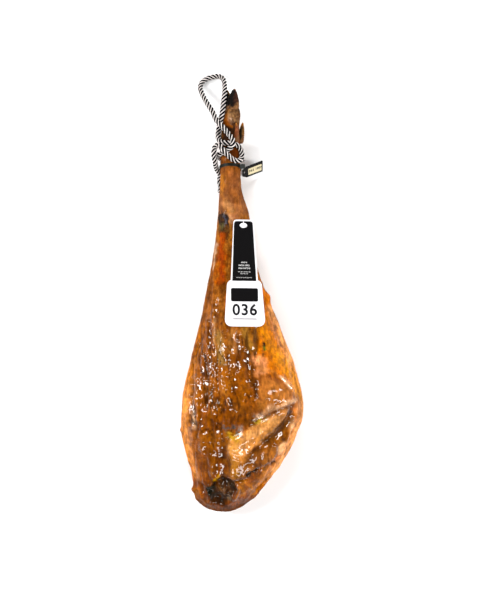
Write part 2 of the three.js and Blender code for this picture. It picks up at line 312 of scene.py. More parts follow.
def cured_leg_material():
    """Air-cured pork leg: rind, fat and lean under a film of its own oil, which gives glints."""
    material, tree, shader = new_material("Air-cured pork leg")
    place = object_place(tree)
    oil = point_value(tree, "oil", "Fac")
    mottle = noise_texture(tree, place, 12, 6.0, Roughness=0.7)
    # muscle fibres about 3 mm across run along the leg
    strand = noise_texture(
        tree, stretched(tree, place, (1, 0.24, 1)), 4.5, 5.0, Roughness=0.6, Distortion=0.6)
    # beads of oil and salt a few mm apart
    bead = noise_texture(tree, stretched(tree, place, (1, 0.32, 1)), 4, 3.0, Roughness=0.5)
    tone = add_node(tree, "ShaderNodeMath", {
        0: shading(tree, mottle, 0.5, 1.5), 1: shading(tree, strand, 0.74, 1.26)},
        operation="MULTIPLY")
    # the film of oil deepens the colour
    colour = add_node(tree, "ShaderNodeHueSaturation", {
        "Color": shaded_colour(tree, point_value(tree, "tint", "Color"), tone.outputs["Value"]),
        "Saturation": 1.05, "Value": 0.85})
    dryness = add_node(tree, "ShaderNodeMapRange", {
        "Value": oil, "From Min": 0.0, "From Max": 1.0, "To Min": 0.5, "To Max": 0.16})
    film = add_node(tree, "ShaderNodeMath", {0: oil, 1: 0.75}, operation="MULTIPLY")
    tree.links.new(colour.outputs["Color"], shader.inputs["Base Color"])
    tree.links.new(dryness.outputs["Result"], shader.inputs["Roughness"])
    tree.links.new(film.outputs["Value"], shader.inputs["Coat Weight"])
    shader.inputs["IOR"].default_value = 1.46
    shader.inputs["Specular IOR Level"].default_value = 0.02
    shader.inputs["Coat Roughness"].default_value = 0.07
    link_bump(tree, shader, ((strand, 2.6), (bead, 1.3)))
    return material


def horn_material():
    """Horn of the claws: near-black keratin, ringed across as it grew, with a dull shine."""
    material, tree, shader = new_material("Black hoof horn")
    place = object_place(tree)
    rings = add_node(tree, "ShaderNodeTexWave", {
        "Vector": place, "Scale": 1 / (14 * MM), "Distortion": 3.0, "Detail": 2.0, "Detail Scale": 2.0},
        bands_direction="Y").outputs["Fac"]
    patch = noise_texture(tree, place, 5, 4.0)
    colour = shaded_colour(
        tree, point_value(tree, "tint", "Color"), shading(tree, patch, 0.45, 1.15))
    tree.links.new(colour, shader.inputs["Base Color"])
    shader.inputs["Roughness"].default_value = 0.42
    shader.inputs["Specular IOR Level"].default_value = 0.05
    link_bump(tree, shader, ((rings, 0.5), (patch, 1.0)))
    return material


def yarn_material(name, dark, light):
    """Cotton yarn in one strand of the cord: soft, dull, with fibres that follow the twist."""
    material, tree, shader = new_material(name)
    place = add_node(tree, "ShaderNodeUVMap", uv_map="yarn").outputs["UV"]
    # fibres 0.6 mm apart across the strand and ten times as long
    fibre = noise_texture(tree, stretched(tree, place, (0.1, 1, 1)), 0.6, 3.0)
    colour = blend(tree, fibre, scaled(dark, 1), scaled(light, 1))
    tree.links.new(colour, shader.inputs["Base Color"])
    shader.inputs["Roughness"].default_value = 0.9
    shader.inputs["Specular IOR Level"].default_value = 0.05
    link_bump(tree, shader, ((fibre, 0.35),))
    return material


def plastic_material(name, colour, roughness, grain):
    """Moulded plastic: an even colour with a faint pebbled grain, in mm, and soft scuffs."""
    material, tree, shader = new_material(name)
    place = object_place(tree)
    pebbles = noise_texture(tree, place, grain, 2.0)
    scuffs = noise_texture(tree, place, 11, 5.0)
    worn = blend(tree, scuffs, scaled(colour, 1), scaled(colour, 1.5, 0.001))
    dull = add_node(tree, "ShaderNodeMapRange", {
        "Value": scuffs, "To Min": roughness - 0.1, "To Max": roughness + 0.15})
    tree.links.new(worn, shader.inputs["Base Color"])
    tree.links.new(dull.outputs["Result"], shader.inputs["Roughness"])
    shader.inputs["Specular IOR Level"].default_value = 0.12
    link_bump(tree, shader, ((pebbles, 0.08),))
    return material


def card_material(name, colour, roughness):
    """Coated card or its ink: a flat even face with the faint tooth of paper."""
    material, tree, shader = new_material(name)
    place = object_place(tree)
    fibre = noise_texture(tree, place, 1.5, 4.0)
    cloud = noise_texture(tree, place, 40, 3.0)
    face = blend(tree, cloud, scaled(colour, 1), scaled(colour, 0.93))
    tree.links.new(face, shader.inputs["Base Color"])
    shader.inputs["Roughness"].default_value = roughness
    shader.inputs["Specular IOR Level"].default_value = 0.06
    link_bump(tree, shader, ((fibre, 0.05),))
    return material


def floor_material(colour):
    """Matt white paint on board: even and almost without shine."""
    material, tree, shader = new_material("Matt white board")
    cloud = noise_texture(tree, object_place(tree), 300, 2.0)
    paint_coat = blend(tree, cloud, scaled(colour, 1), scaled(colour, 0.985))
    tree.links.new(paint_coat, shader.inputs["Base Color"])
    shader.inputs["Roughness"].default_value = 0.9
    return material


# ------------------------------------------------------------------ settings
class StageSettings(bpy.types.PropertyGroup):
    """The camera's distance, the view's height and the floor's colour."""
    distance: bpy.props.FloatProperty(
        name="Camera distance", description="Height of the camera above the leg",
        default=3.0, min=0.5, unit="LENGTH")
    view_height: bpy.props.FloatProperty(
        name="View height", description="Length of floor that the picture shows",
        default=1.184, min=0.1, unit="LENGTH")
    floor_colour: bpy.props.StringProperty(
        name="Floor colour", description="The floor's sRGB colour", default="#F4F4F4")


class LegSettings(bpy.types.PropertyGroup):
    """The leg's mesh and its relief."""
    spacing: bpy.props.FloatProperty(
        name="Ring spacing", description="Distance between the rings of the leg's mesh",
        default=2.3 * MM, min=1.0 * MM, unit="LENGTH")
    columns: bpy.props.IntProperty(
        name="Columns", description="Points round the leg", default=240, min=40, max=260)
    relief: bpy.props.FloatProperty(
        name="Relief", description="Strength of the wrinkles and lumps", default=1.0, min=0, max=2)


class CordSettings(bpy.types.PropertyGroup):
    """The hanging cord's sizes."""
    diameter: bpy.props.FloatProperty(
        name="Diameter", description="Thickness of the cord", default=10.5 * MM, unit="LENGTH")
    lay: bpy.props.FloatProperty(
        name="Lay", description="Length of cord in which a strand goes once round",
        default=26 * MM, unit="LENGTH")
    strands: bpy.props.IntProperty(
        name="Strands", description="Black and white strands in turn", default=6, min=4, max=12)


class TagSettings(bpy.types.PropertyGroup):
    """What is printed on the card tag and on the seal."""
    card_number: bpy.props.StringProperty(
        name="Card number", description="Plain number on the card", default="036")
    seal_number: bpy.props.StringProperty(
        name="Seal number", description="Plain number on the seal's label", default="362 1804")
    ink: bpy.props.FloatProperty(
        name="Ink thickness", description="How far the print stands off its card",
        default=0.12 * MM, unit="LENGTH")


# ------------------------------------------------------------------ stage
VIEW_MIDDLE = (-0.003, 0.010)   # the plan spot under the camera, in metres
VIEW_LEVEL = 0.45               # the level the view is sized at, as a share of the height


class HAM_OT_stage(bpy.types.Operator):
    """Adds the camera, the lights and the pale floor"""
    bl_idname = "cured_ham.stage"
    bl_label = "Stage"

    def execute(self, context):
        settings = context.scene.ham_stage
        scene = context.scene
        scene.view_settings.view_transform = "Standard"
        level = VIEW_LEVEL * CAD_BOX[1][2]
        lens = bpy.data.cameras.new("Camera")
        lens.sensor_width = 36
        lens.lens = lens.sensor_width * settings.distance / settings.view_height
        camera = add_object("Camera", lens)
        camera.location = (*VIEW_MIDDLE, level + settings.distance)
        scene.camera = camera

        # the studio's air is dim overhead and bright at the sides, so that dark things stay dark
        world = bpy.data.worlds.new("Studio")
        world.use_nodes = True
        tree = world.node_tree
        upward = add_node(tree, "ShaderNodeSeparateXYZ", {
            "Vector": add_node(tree, "ShaderNodeTexCoord").outputs["Generated"]})
        glow = add_node(tree, "ShaderNodeMapRange", {
            "Value": upward.outputs["Z"], "From Min": 0.3, "From Max": 0.85,
            "To Min": 0.45, "To Max": 0.04})
        background = tree.nodes["Background"]
        background.inputs["Color"].default_value = (1, 1, 1, 1)
        tree.links.new(glow.outputs["Result"], background.inputs["Strength"])
        scene.world = world

        for name, place, size, power in (
            ("Left softbox", (-1.8, 0.3, 1.9), (0.26, 1.6), 66),
            ("Right softbox", (1.8, -0.2, 1.9), (0.26, 1.6), 50),
            ("Far softbox", (-0.2, 2.1, 1.9), (1.4, 0.3), 38),
            ("Near softbox", (0.2, -2.1, 1.9), (1.4, 0.3), 34),
        ):
            light = bpy.data.lights.new(name, "AREA")
            light.shape = "RECTANGLE"
            light.size, light.size_y = size
            light.energy = power
            lamp = add_object(name, light)
            lamp.location = place
            lamp.rotation_euler = (-Vector(place)).to_track_quat("-Z", "Y").to_euler()

        floor = add_object("floor", mesh_of(
            "floor", [(-4000, -4000, 0), (4000, -4000, 0), (4000, 4000, 0), (-4000, 4000, 0)],
            [(0, 1, 2, 3)]), [floor_material(settings.floor_colour)])
        floor.location.z = -0.0003
        return {"FINISHED"}


# ------------------------------------------------------------------ cord
CORD_RADIUS = 5.25
GAP = 0.4
LAYER = 2 * CORD_RADIUS + 0.5   # rise of a strand that lies over another
BLACK_EXCESS = 0.15             # how far the black strands press the white aside, in radians


def wrap(angle, y, layer):
    """Beside the leg: degrees from its top to the left, y along it, and layer over the skin."""
    turn = math.radians(90 + angle)
    across = leg_point(y, turn + 0.05) - leg_point(y, turn - 0.05)
    out = np.array((across[2], 0, -across[0]))
    return leg_point(y, turn) + out / np.linalg.norm(out) * (GAP + CORD_RADIUS + layer * LAYER)


CORD_ROUTE = (
    # round the back of the ankle, left to right over the front, and up to the loop
    wrap(-112, 286, 0.05), wrap(-150, 288, 0.05), wrap(168, 288, 0.05), wrap(126, 289, 0.05),
    wrap(84, 291, 0.05), wrap(50, 294, 0.05), wrap(25, 296.5, 0.05), wrap(8, 302, 0.4),
    wrap(-7, 310, 1), wrap(-6.5, 321, 0.95), wrap(8, 335, 0.35), wrap(32, 350, 0.65),
    # over the crossing, off the side of the foot and round the loop on the table
    wrap(50, 360, 1), (-60, 381, 54), (-71.5, 400.5, 41), (-81.5, 421, 25), (-84.8, 434.5, 14),
    (-80.5, 445.5, 8.5), (-71, 452.5, 6), (-59, 456, 7), (-47, 456.5, 12), (-38.5, 450, 20),
    (-35, 437, 32), (-35, 417, 45), (-37, 399, 51), wrap(56, 380, 0.1), wrap(60, 360, 0.05),
    wrap(73, 338, 0.05),
    # across the front under the first strand, and round the right ring
    wrap(60, 324, 0.05), wrap(34, 317, 0.05), wrap(-2, 314, 0.05), wrap(-32, 310, 0.05),
    wrap(-54, 299, 0.05), wrap(-53, 286, 0.1), wrap(-33, 280, 0.15), wrap(-10, 282, 0.25),
    # up over the first strand, and round the left ring
    wrap(8, 291, 0.87), wrap(20, 301, 1.39), wrap(32, 310.5, 1.25), wrap(45, 307.5, 1.28),
    wrap(51.5, 295, 1.28),
    # down behind the band, and out along the shank to the tail's cut end
    wrap(68, 279, 0.6), wrap(103, 267, 0.3), (-44.5, 255, 14), (-45.5, 244, 7.5), (-43, 231, 5.8),
    (-45, 220, 5.7),
)


def smooth_route(route, step):
    """Points a step apart on the centripetal Catmull-Rom curve through a route, in mm."""
    route = np.array(route, float)
    ends = np.vstack([2 * route[0] - route[1], route, 2 * route[-1] - route[-2]])
    found = []
    for a, b, c, d in zip(ends, ends[1:], ends[2:], ends[3:]):
        ta = 0.0
        tb = ta + np.linalg.norm(b - a)**0.5
        tc = tb + np.linalg.norm(c - b)**0.5
        td = tc + np.linalg.norm(d - c)**0.5
        t = np.linspace(tb, tc, 60, endpoint=False)[:, None]
        ab = ((tb - t) * a + (t - ta) * b) / (tb - ta)
        bc = ((tc - t) * b + (t - tb) * c) / (tc - tb)
        cd = ((td - t) * c + (t - tc) * d) / (td - tc)
        abc = ((tc - t) * ab + (t - ta) * bc) / (tc - ta)
        bcd = ((td - t) * bc + (t - tb) * cd) / (td - tb)
        found.append(((tc - t) * abc + (t - tb) * bcd) / (tc - tb))
    fine = np.vstack([*found, route[-1:]])
    run = np.concatenate([[0], np.cumsum(np.linalg.norm(np.diff(fine, axis=0), axis=1))])
    even = np.linspace(0, run[-1], round(run[-1] / step) + 1)
    return np.stack([np.interp(even, run, fine[:, axis]) for axis in range(3)], axis=-1), even


class HAM_OT_cord(bpy.types.Operator):
    """Lays the twisted black and white cord with its loop and its knot"""
    bl_idname = "cured_ham.cord"
    bl_label = "Hanging cord"

    def execute(self, context):
        settings = context.scene.ham_cord
        path, run = smooth_route(CORD_ROUTE, 1.1)
        radius = settings.diameter / MM / 2
        half_turn = math.pi / settings.strands
        strand_radius = radius * math.sin(half_turn) / (1 + math.sin(half_turn))
        centre = radius - strand_radius
        per_strand = 8
        count = per_strand * settings.strands
        turn = 2 * math.pi * np.arange(count) / count
        lobe = (turn + half_turn) % (2 * half_turn) - half_turn
        bulge = np.sqrt(np.maximum(strand_radius**2 - (centre * np.sin(lobe))**2, 0))
        reach = centre * np.cos(lobe) + bulge
        widened = turn + BLACK_EXCESS * np.sin(turn * settings.strands / 2)

        tangent = np.gradient(path, axis=0)
        tangent /= np.linalg.norm(tangent, axis=1)[:, None]
        side = np.cross(tangent[0], (0, 0, 1))
        points = []
        for spot, ahead, length in zip(path, tangent, run):
            side = side - ahead * (side @ ahead)
            side /= np.linalg.norm(side)
            other = np.cross(ahead, side)
            angle = widened + 2 * math.pi * length * MM / settings.lay
            points.append(spot + reach[:, None] * (
                np.cos(angle)[:, None] * side + np.sin(angle)[:, None] * other))
        rings = len(points)
        points = np.vstack([*points, path[:1], path[-1:]])
        faces = skin_faces(rings, count)[:, ::-1].tolist()
        faces += end_fan(0, count, rings * count, False).tolist()
        faces += end_fan((rings - 1) * count, count, rings * count + 1, True).tolist()
        mesh = mesh_of("hanging_rope", points, faces)
        column = np.concatenate([np.tile(np.arange(count), rings - 1), np.arange(count), np.arange(count)])
        strand = ((column + per_strand / 2) // per_strand).astype(int) % settings.strands
        mesh.polygons.foreach_set("material_index", (strand % 2).astype(np.int32))
        uv = mesh.uv_layers.new(name="yarn")
        corner = np.zeros(len(mesh.loops), np.int32)
        mesh.loops.foreach_get("vertex_index", corner)
        ring = np.minimum(corner // count, rings - 1)
        places = np.stack([run[ring] * MM, (corner % count) * 0.7 * MM], axis=-1)
        uv.data.foreach_set("uv", places.astype(np.float32).ravel())
        rope = add_object("hanging_rope", mesh, [
            yarn_material("Black cotton yarn", "#040406", "#0C0B10"),
            yarn_material("White cotton yarn", "#CFC5BF", "#EEE7E3"),
        ], slot="cord")
        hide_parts("hanging_cord")
        return {"FINISHED"}


# ------------------------------------------------------------------ leg
# Lines and outlines on the meat side, seen from above, in mm.
WRINKLED = ((-74, -52), (14, -52), (26, -100), (28, -138), (28, -184), (16, -226), (-14, -250), (-24, -284),
            (-56, -300), (-90, -284), (-110, -238), (-108, -158), (-94, -90))
FAT_SIDE = ((30, 40), (54, 12), (72, -44), (92, -94), (112, -138), (124, -180), (124, -216),
            (116, -250), (102, -280), (84, -316), (54, -356), (26, -384), (34, -362), (50, -336),
            (72, -304), (90, -264), (101, -228), (104, -196), (94, -174), (66, -152), (40, -142),
            (31, -128), (30, -98), (34, -66), (46, -44))
KNUCKLE = ((36, -143), (52, -147), (68, -154), (85, -166), (98, -182), (105, -195), (98, -199),
           (79, -204), (59, -212), (42, -218), (33, -211), (26, -196), (28, -166))
FAT_RIDGE = ((92, -206), (76, -210), (58, -220), (42, -229), (28, -240), (8, -252), (-6, -262),
             (-22, -272), (-26, -286), (-26, -302), (-16, -320), (4, -314), (12, -302), (26, -284),
             (48, -266), (70, -248), (85, -228))
PLATEAU = ((-25, -298), (0, -312), (12, -300), (30, -286), (50, -277), (66, -284), (68, -302),
           (56, -318), (34, -328), (14, -345), (-22, -353))
SOCKET = ((-58, -354), (-38, -347), (-20, -354), (-12, -374), (-20, -396), (-40, -406), (-62, -398),
          (-68, -376))
OLIVE = ((-46, -62), (-42, -100), (-40, -122))
CRACK = ((9, -343), (16, -337), (26, -334), (34, -328))
MOULD = ((-46, 172), (-32, 175), (-25, 166), (-26, 146), (-29, 124), (-34, 110), (-41, 118), (-46, 140))

# Relief: kind, line or outline, width or softness, and height; all in mm.
RELIEF = (
    ("area", KNUCKLE, 22, 4.5), ("line", ((101, -197), (79, -203), (59, -211), (41, -218)), 3.2, 3.2),
    ("line", ((94, -206), (76, -212), (58, -221), (40, -230), (20, -238)), 3.6, -3.2),
    ("line", ((78, -150), (88, -161), (97, -173)), 3.4, 2.6),
    ("line", ((-98, -218), (-96, -250)), 4, 2.4), ("area", FAT_RIDGE, 12, 4.0),
    ("line", ((80, -216), (56, -236), (34, -254), (8, -270), (-14, -290)), 9, 3.0),
    ("line", ((95, -226), (84, -246), (68, -262), (48, -275)), 9, -6.0),
    ("line", ((102, -234), (93, -260), (83, -282), (76, -298)), 3.2, 3.4), ("area", PLATEAU, 5, 3.0),
    ("line", ((-36, -276), (-37, -346)), 9, -4.0), ("line", ((-22, -288), (-21, -346)), 3, 2.0),
    ("area", SOCKET, 12, -8.0), ("line", ((-42, -366), (-34, -382)), 8, 8.0),
    ("line", ((-54, -392), (-48, -396)), 5, -4.0), ("line", ((-60, -366), (-54, -360)), 4, -4.0),
    ("line", ((-24, -366), (-22, -388)), 4, 4.0),
    ("line", ((-12, -358), (-8, -376), (-14, -392)), 4, 3.5), ("line", CRACK, 2.2, -5.5),
    ("line", ((58, -322), (66, -317)), 2.2, -3.5), ("line", ((-22, -357), (7, -351)), 1.6, -1.6),
    ("line", ((30, -388), (16, -368), (8, -356)), 5, 3.0), ("line", ((52, -350), (30, -374)), 4, -2.5),
    ("line", ((-78, -366), (-72, -396)), 4, -3.0),
    ("line", ((-9, -66), (-8, -100), (-10, -136)), 2.4, -4.5),
    ("line", ((-1, -82), (-1, -114)), 2.0, -3.5),
    ("line", ((9, -96), (11, -140), (17, -168)), 2.6, -4.5),
    ("line", ((25, -160), (32, -186), (38, -194)), 3.0, -3.5),
    ("line", ((27, -56), (27, -104)), 3, -2.0),
    ("line", ((-98, -130), (-100, -176), (-97, -218)), 3, -5.0),
    ("line", ((-88, -150), (-90, -200), (-84, -236)), 4, 3.0),
    ("line", ((-70, -172), (-68, -210)), 2.6, -4.0),
    ("line", ((-62, -42), (-64, -92), (-68, -150)), 3, -2.5),
    ("line", ((-54, 70), (-58, -34), (-55, -84)), 3, 2.0),
    ("line", ((-40, -150), (-34, -176), (-24, -202)), 4, 4.0),
    ("line", ((-26, -186), (-16, -214)), 3, -4.0), ("line", ((-28, -142), (-19, -120)), 3, 2.5),
    ("line", ((-60, -232), (-56, -276)), 4, -3.0), ("line", ((-80, -250), (-76, -300)), 4, 2.5),
    ("line", ((-64, -300), (-58, -346)), 4, 2.5), ("line", ((-50, -296), (-48, -340)), 3, -2.5),
    ("line", ((-108, -226), (-112, -244)), 6, 2.5), ("line", ((60, 20), (54, 4)), 4, 1.5),
    ("line", ((28, -186), (41, -196), (47, -188)), 3.0, 2.6),
    ("line", ((20, -150), (28, -186)), 2.6, -3.0),
    ("line", ((-34, 366), (-20, 361), (-8, 366)), 1.8, -2.2),
    ("line", ((-32, 377), (-18, 380), (-6, 375)), 1.8, -1.8),
    ("line", ((-30, 356), (-18, 351), (-9, 356)), 1.8, -2.2),
    ("line", ((-26, 390), (-14, 394)), 2, 1.2),
)

# Lumps on the leg's outline: place, width and height.
OUTLINE_LUMPS = (
    ((56, 10), 10, 6.5), ((-121, -258), 4, 2.5), ((-96, -378), 6, 4.5), ((-94, -362), 5, -1.5),
    ((-108, -340), 12, -2.0), ((-70, -408), 10, 1.5), ((100, -120), 14, 1.2), ((108, -262), 14, -1.5),
    ((-112, -190), 14, 1.5), ((70, -330), 12, 1.5), ((-96, -110), 12, 1.2), ((20, -408), 10, -2.5),
)

# Paint: kind, line or outline, width or softness, colour and strength. Spots lie along a line.
PAINT = (
    ("area", WRINKLED, 40, "#85481A", 0.7), ("area", FAT_SIDE, 8, "#CF7026", 0.95),
    ("line", ((60, -20), (84, -80), (104, -124), (120, -170), (122, -212), (114, -250), (100, -286),
        (80, -318), (52, -354)), 10, "#FFB070", 0.95),
    ("line", ((40, -40), (56, -84), (76, -120)), 10, "#E08A28", 0.75),
    ("line", ((74, -112), (100, -150), (112, -190)), 9, "#EC9838", 0.8),
    ("line", ((28, -116), (42, -124), (38, -138)), 9, "#EFA06E", 0.85),
    ("line", ((33, -126), (60, -138), (84, -156)), 5, "#B8763E", 0.6),
    ("area", KNUCKLE, 4, "#8E4E28", 1.0), ("line", ((60, -168), (86, -188)), 8, "#BA723E", 0.6),
    ("line", ((34, -142), (62, -147), (88, -164), (104, -190)), 2.4, "#8A4A18", 0.6),
    # painted shade in the groove along the knuckle's left side
    ("line", ((24, -150), (27, -180), (34, -204)), 3, "#5E3010", 0.8),
    # a pale lip of fat under the knuckle, lightened further as a painted highlight along it
    ("line", ((102, -195), (79, -201), (59, -209), (41, -216), (30, -224)), 3.4, "#F2C8A2", 0.9),
    # painted highlights: a long streak down the right wall of the trough, a glint on the knuckle's upper
    # edge and a streak on the left
    ("line", ((101, -236), (92, -262), (82, -284), (76, -298)), 2.6, "#FFCF9C", 0.6),
    ("line", ((78, -150), (88, -161), (97, -173)), 3.2, "#FFD6AC", 0.7),
    ("line", ((-98, -220), (-96, -248)), 3.4, "#F0C49A", 0.6),
    ("line", ((-16, -62), (-14, -92)), 8, "#CC8850", 0.5), ("line", OLIVE, 7, "#A27C44", 0.7),
    ("line", ((8, -56), (14, -90)), 8, "#A27838", 0.6),
    ("line", ((-20, -60), (-22, -96)), 5, "#A06A34", 0.6),
    ("line", ((28, -58), (28, -102)), 3.0, "#5A3A14", 0.8),
    ("line", ((43, -80), (44, -84)), 3.6, "#10140C", 1.0),
    ("line", ((44, -90), (45, -94)), 3.2, "#4E5E20", 0.9),
    ("line", ((41, -106), (41, -110)), 2.4, "#3A2A10", 0.8),
    ("line", ((-98, -126), (-108, -170), (-118, -238), (-112, -278), (-104, -314), (-96, -350)),
        9, "#FFA458", 0.95),
    ("line", ((-106, -160), (-92, -102), (-80, -50)), 6, "#C47228", 0.7),
    ("area", FAT_RIDGE, 6, "#D08C50", 0.95),
    # painted highlight along the crown of the fat ridge
    ("line", ((66, -228), (38, -250), (12, -268), (-12, -290)), 6, "#EDB47C", 0.7),
    ("line", ((-16, -284), (-14, -304)), 7, "#D99A50", 0.7),
    ("line", ((30, -246), (52, -240), (70, -228)), 4, "#B98048", 0.6),
    ("line", ((12, -262), (4, -278)), 3, "#A8682C", 0.5),
    ("line", ((40, -262), (28, -270)), 3, "#B0702E", 0.5),
    ("line", ((20, -256), (2, -270)), 6, "#EBA868", 0.6),
    ("line", ((95, -226), (84, -246), (68, -262), (48, -276)), 9, "#A25F26", 0.9),
    ("line", ((84, -236), (70, -250)), 4, "#7C5420", 0.6),
    ("line", ((94, -206), (76, -212), (58, -221)), 4, "#A8683A", 0.8),
    ("spots", ((22, -228), (36, -222), (52, -218)), 6, "#6E6862", 0.9),
    ("spots", ((24, -236), (44, -228)), 4.5, "#CFA83E", 0.9),
    ("spots", ((-30, -246), (-12, -252), (-2, -262)), 9, "#54504E", 0.95),
    ("spots", ((-24, -264), (-8, -270)), 7, "#BE9234", 0.9),
    ("line", ((-4, -244), (-2, -250)), 3.4, "#D8C8B8", 0.5),
    ("line", ((14, -228), (2, -240)), 5, "#5A3616", 0.75),
    ("line", ((-12, -214), (18, -214), (34, -210)), 11, "#74421C", 0.75),
    ("area", PLATEAU, 8, "#6E3C18", 0.9), ("line", ((-12, -312), (-14, -340)), 7, "#B07828", 0.6),
    # painted shade: the crack at the end of this line and those on the next two lines are darkened
    ("line", ((44, -290), (56, -304)), 8, "#A6622C", 0.6), ("line", CRACK, 2.4, "#140B05", 1.0),
    ("line", ((57, -323), (66, -317)), 2.4, "#1E1008", 0.95),
    ("line", ((-22, -357), (7, -351)), 1.8, "#4A2810", 0.8),
    ("spots", ((24, -340), (40, -330)), 8, "#4A2A12", 0.7),
    ("spots", ((70, -246), (56, -258), (44, -272)), 8, "#6A4A1C", 0.7),
    ("area", SOCKET, 9, "#2A180A", 0.98), ("line", ((-64, -374), (-58, -388)), 7, "#12160A", 0.95),
    ("line", ((-34, -352), (-20, -358), (-12, -372)), 5, "#20180E", 0.8),
    ("line", ((-48, -370), (-40, -376)), 5, "#6E4216", 0.9),
    ("spots", ((-30, -370), (-28, -392)), 7, "#74583E", 0.9),
    ("line", ((-60, -396), (-40, -400)), 4, "#20160A", 0.8),
    ("line", ((-47, -340), (-55, -356)), 2.4, "#E0A030", 0.95),
    ("line", ((-78, -290), (-66, -346)), 7, "#713A14", 0.6),
    ("line", ((-56, -276), (-52, -338)), 5, "#7A4416", 0.6),
    ("line", ((-104, -330), (-92, -370)), 6, "#8A3C14", 0.6),
    ("line", ((-60, -250), (-40, -262)), 9, "#7A421C", 0.6),
    ("line", ((20, -380), (50, -346)), 8, "#B8702E", 0.7),
    ("line", ((-30, -408), (-24, -414)), 5, "#2A160A", 0.8),
    ("line", ((-14, 208), (-15, 198)), 8, "#7A4426", 0.8),
    ("line", ((-34, 196), (-20, 184)), 5, "#C08A5C", 0.6),
    ("line", ((-26, 172), (-16, 158)), 6, "#BC8A66", 0.7),
    ("line", ((-30, 384), (-10, 382)), 8, "#8A6644", 0.7),
    ("line", ((-28, 372), (-12, 368)), 8, "#9A7450", 0.8),
    ("line", ((-33, 372), (-30, 356)), 5, "#8E4A20", 0.8),
    ("line", ((-22, 366), (-20, 360)), 4, "#B89A80", 0.7),
    # painted shade in the fold between the pastern and the skin
    ("line", ((-17, 356), (-19, 344), (-17, 330)), 4.5, "#1A120A", 0.95),
    ("line", ((-36, 346), (-34, 326)), 8, "#2E1C10", 0.9),
    ("line", ((-30, 334), (-28, 328)), 4, "#74402A", 0.6),
    ("line", ((-8, 350), (-9, 320)), 5, "#98593A", 0.8),
    ("line", ((-20, 302), (-10, 298)), 6, "#6E3218", 0.7),
    ("line", ((-36, 376), (-20, 394), (-4, 384)), 3.5, "#2A1A12", 0.6),
    ("spots", ((-26, 394), (-10, 352)), 14, "#3E2616", 0.75),
    ("line", ((-32, 340), (-25, 320)), 8, "#26160E", 0.9),
    ("line", ((-3, 376), (-1, 350)), 4, "#54361F", 0.8),
    ("line", ((-30, 368), (-25, 350)), 4, "#96501F", 0.6), ("area", MOULD, 5, "#2A1C14", 1.0),
    ("spots", ((-40, 168), (-34, 154)), 11, "#161412", 1.0),
    ("spots", ((-34, 146), (-33, 118)), 8, "#2C1A12", 1.0),
    ("spots", ((-33, 166), (-31, 152)), 4, "#4A4852", 0.8),
    ("spots", ((-41, 150), (-38, 140)), 6, "#57502E", 0.6),
    ("line", ((-40, 128), (-38, 84), (-44, 44)), 7, "#9A3C14", 0.9),
    ("line", ((-50, 112), (-58, 66)), 2.6, "#D0A888", 0.8),
    ("line", ((-54, -34), (-56, -84)), 2.4, "#BE9062", 0.6),
    ("line", ((-60, 60), (-72, -10)), 5, "#7E4418", 0.6),
    ("line", ((-28, 60), (-30, 20)), 5, "#8A5A28", 0.5),
    ("line", ((-90, -394), (-60, -420), (-20, -424), (16, -402)), 9, "#6A3A16", 0.75),
)

# The leg's own colour along its length, before the paint: y in mm and colour.
BASE_COLOURS = (
    (-424, "#8A4414"), (-330, "#8E4A1A"), (-200, "#985426"), (-80, "#9E5C2A"), (60, "#9E5E2C"),
    (150, "#A4662E"), (190, "#9C6440"), (230, "#8A5230"), (290, "#8A5024"), (330, "#54341E"),
    (360, "#8A5E3C"), (396, "#5A3C28"),
)
RIND_COLOUR = "#B0722E"


def paint(colour, mask, hexa):
    """colour with hexa laid over it where mask is 1."""
    return colour + mask[..., None] * (np.array(linear(hexa)) - colour)


def blotches(colour, base, golden, dark, seed):
    """colour with golden and dark blotches, long in the direction of the meat, laid over it."""
    colour = paint(colour, golden * smooth(rough(base, (15, 34, 30), seed, 4), 0.1, 0.9), "#C88034")
    # the skin of the shank is more even
    dark = dark * (1 - 0.55 * smooth(base[..., 1], 70, 150))
    colour = paint(colour, dark * smooth(rough(base, (13, 30, 30), seed + 10, 4), 0.05, 0.8), "#4A2208")
    return paint(colour, dark * smooth(rough(base, (5, 9, 9), seed + 20, 3), 0.0, 0.8), "#5A2C0C")


